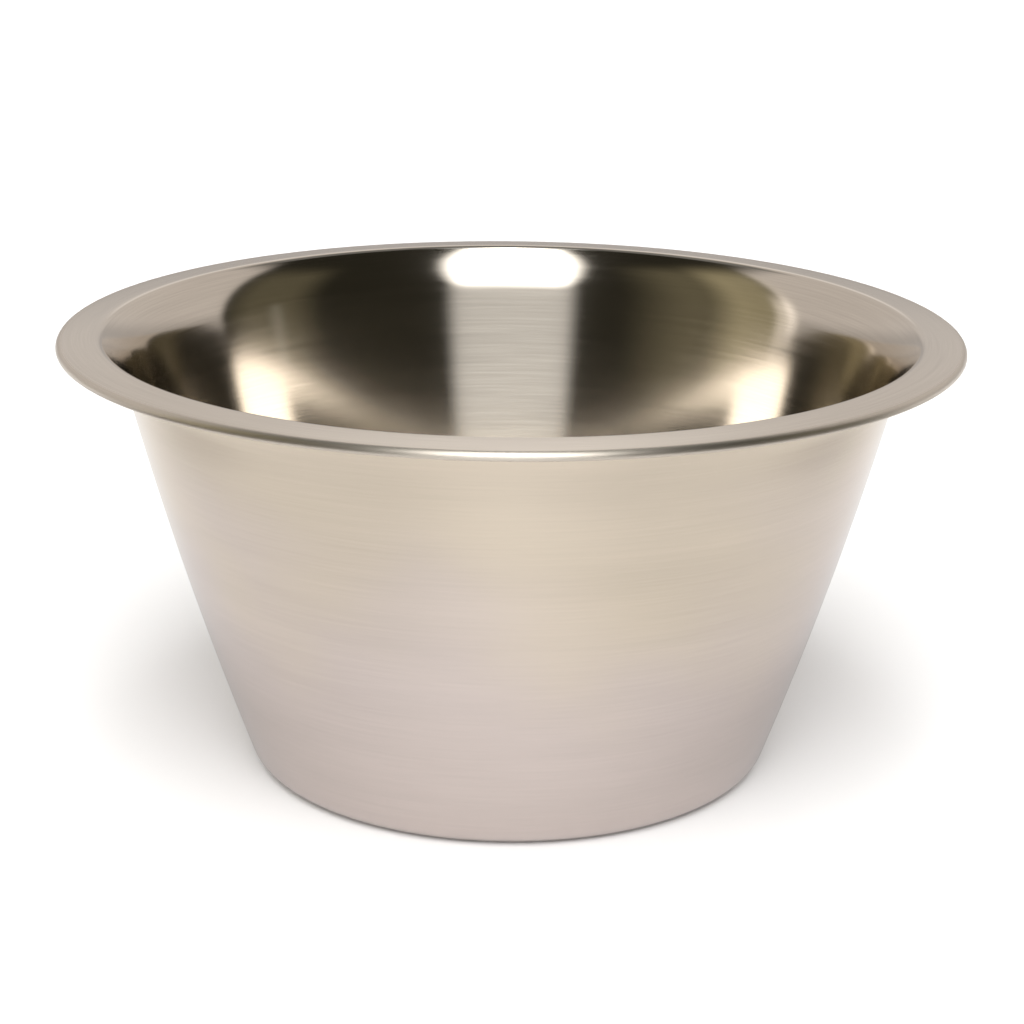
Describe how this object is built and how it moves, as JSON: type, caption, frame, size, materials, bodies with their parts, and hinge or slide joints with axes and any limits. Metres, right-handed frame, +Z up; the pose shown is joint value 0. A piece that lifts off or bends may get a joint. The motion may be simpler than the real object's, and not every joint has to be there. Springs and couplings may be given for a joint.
{
  "type": "mixing bowl",
  "caption": "Deep round mixing bowl pressed from stainless steel sheet, with a flat foot, leaning walls, a wide mouth and a broad flange with a folded edge.",
  "frame": {"origin": "centre of the underside of the floor, where the bowl stands", "axes": "+Z up through the mouth, the axis that the bowl is round about; X and Y lie on the surface it stands on and are interchangeable"},
  "size_m": [0.24, 0.24, 0.1195],
  "materials": {
    "steel": "warm grey stainless steel with a fine satin grain running round the bowl, brighter inside and smoother on the flange"
  },
  "bodies": {
    "root": {"bowl": "steel"}
  },
  "joints": []
}
